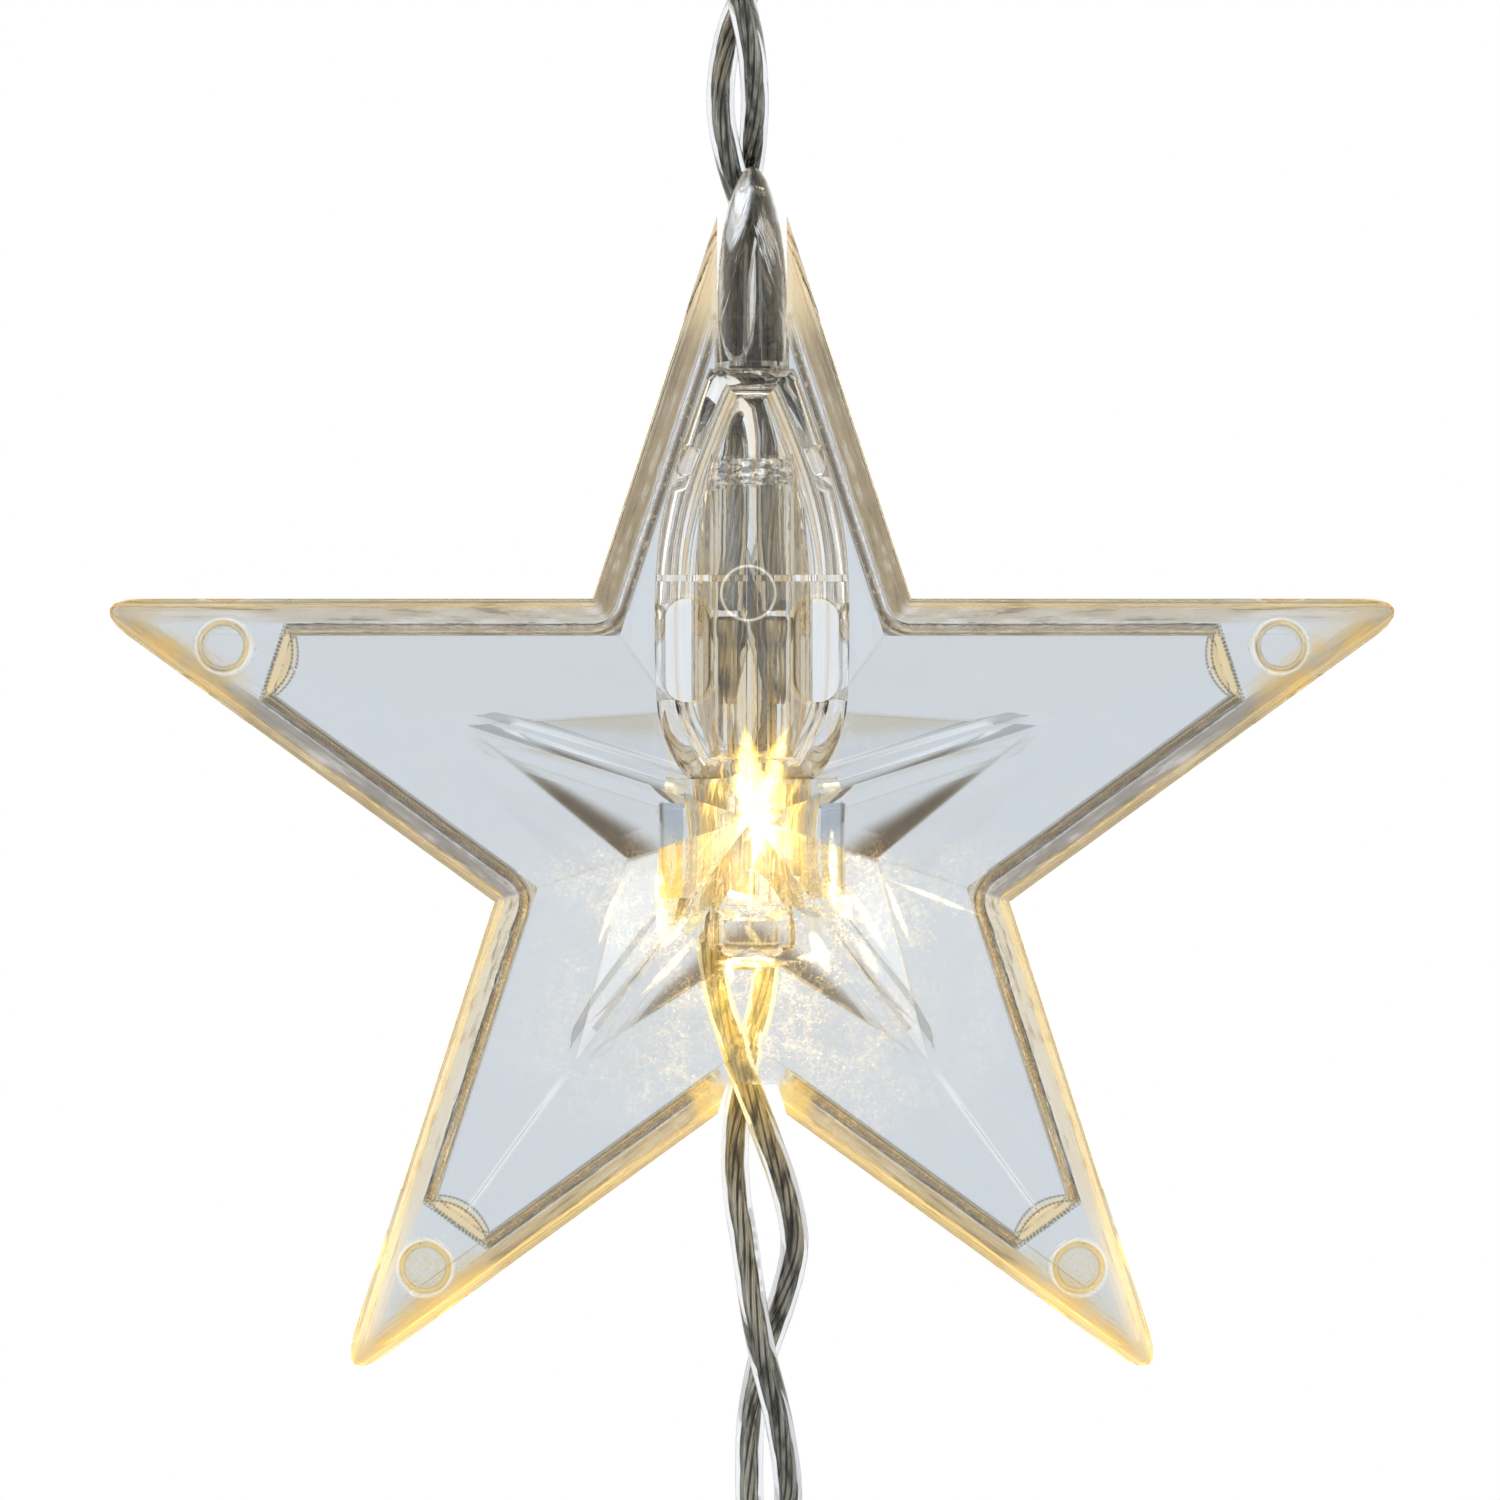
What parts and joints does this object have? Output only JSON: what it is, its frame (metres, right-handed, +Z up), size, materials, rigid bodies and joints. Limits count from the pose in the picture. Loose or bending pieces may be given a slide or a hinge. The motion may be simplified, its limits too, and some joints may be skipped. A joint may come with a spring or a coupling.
{
  "type": "star string light",
  "caption": "Clear two-shell star with a warm lamp on a twisted clear cord, hung from a small cord coupler, socket below.",
  "frame": {"origin": "middle of the upper coupler's flat top face, from which the string hangs", "axes": "+Z up along the cord, -Y towards the star's front face, +X to the right as seen from the front"},
  "size_m": [0.07, 0.0146, 0.1402],
  "materials": {
    "clear_star": "polished, clear",
    "clear_holder": "moulded, clear",
    "potting": "milky, wrinkled",
    "lamp_lens": "clear epoxy",
    "lamp_chip": "lit warm white",
    "tinned_lead": "tinned",
    "crimp": "tinned",
    "clear_wire": "clear insulation over tinned strands",
    "coupler_body": "milky clear",
    "soft_relief": "soft, milky clear",
    "seal_ring": "matte",
    "contact_brass": "plain",
    "coupler_nut": "milky clear, ribbed",
    "cap": "milky clear"
  },
  "bodies": {
    "coupler": {"plug_body": "coupler_body", "pin_left": "contact_brass", "pin_right": "contact_brass", "plug_seal": "seal_ring"},
    "nut": {"coupling_nut": "coupler_nut"},
    "relief": {"plug_relief": "soft_relief"},
    "upper_cord": {"upper_feed_wire": "clear_wire", "upper_through_wire": "clear_wire"},
    "star": {"front_shell": "clear_star", "back_shell": "clear_star", "lamp_holder": "clear_holder", "mouth_seal": "potting", "led_lens": "lamp_lens", "cathode_lead": "tinned_lead", "anode_lead": "tinned_lead", "led_chip": "lamp_chip", "crimp_left": "crimp", "crimp_right": "crimp", "star_feed_wire": "clear_wire", "star_through_wire": "clear_wire", "star_return_wire": "clear_wire"},
    "tail": {"tail_through_wire": "clear_wire", "tail_return_wire": "clear_wire", "socket_relief": "soft_relief", "socket_body": "coupler_body", "contact_left": "contact_brass", "contact_right": "contact_brass"},
    "cap": {"end_cap": "cap"}
  },
  "joints": [
    {"name": "nut_turn", "type": "hinge", "parent": "coupler", "child": "nut", "pos_m": [0, 0, -0.007], "axis": [0, 0, 1], "continuous": true},
    {"name": "swing_front_back", "type": "hinge", "parent": "coupler", "child": "relief", "pos_m": [0, 0, -0.01315], "axis": [1, 0, 0], "range_deg": [-20, 20], "deforming": ["plug_relief"]},
    {"name": "swing_side", "type": "hinge", "parent": "relief", "child": "upper_cord", "pos_m": [0, 0, -0.02245], "axis": [0, 1, 0], "range_deg": [-30, 30], "deforming": ["upper_feed_wire", "upper_through_wire"]},
    {"name": "star_turn", "type": "hinge", "parent": "upper_cord", "child": "star", "pos_m": [0, 0, -0.04], "axis": [0, 0, 1], "range_deg": [-90, 90], "stiffness_Nm_per_rad": 0.0002},
    {"name": "tail_swing", "type": "hinge", "parent": "star", "child": "tail", "pos_m": [0.0009, 0, -0.0884], "axis": [0, 1, 0], "range_deg": [-25, 25], "deforming": ["tail_through_wire", "tail_return_wire"]},
    {"name": "cap_pull", "type": "slide", "parent": "tail", "child": "cap", "axis": [0, 0, -1], "range_m": [0, 0.008]}
  ]
}
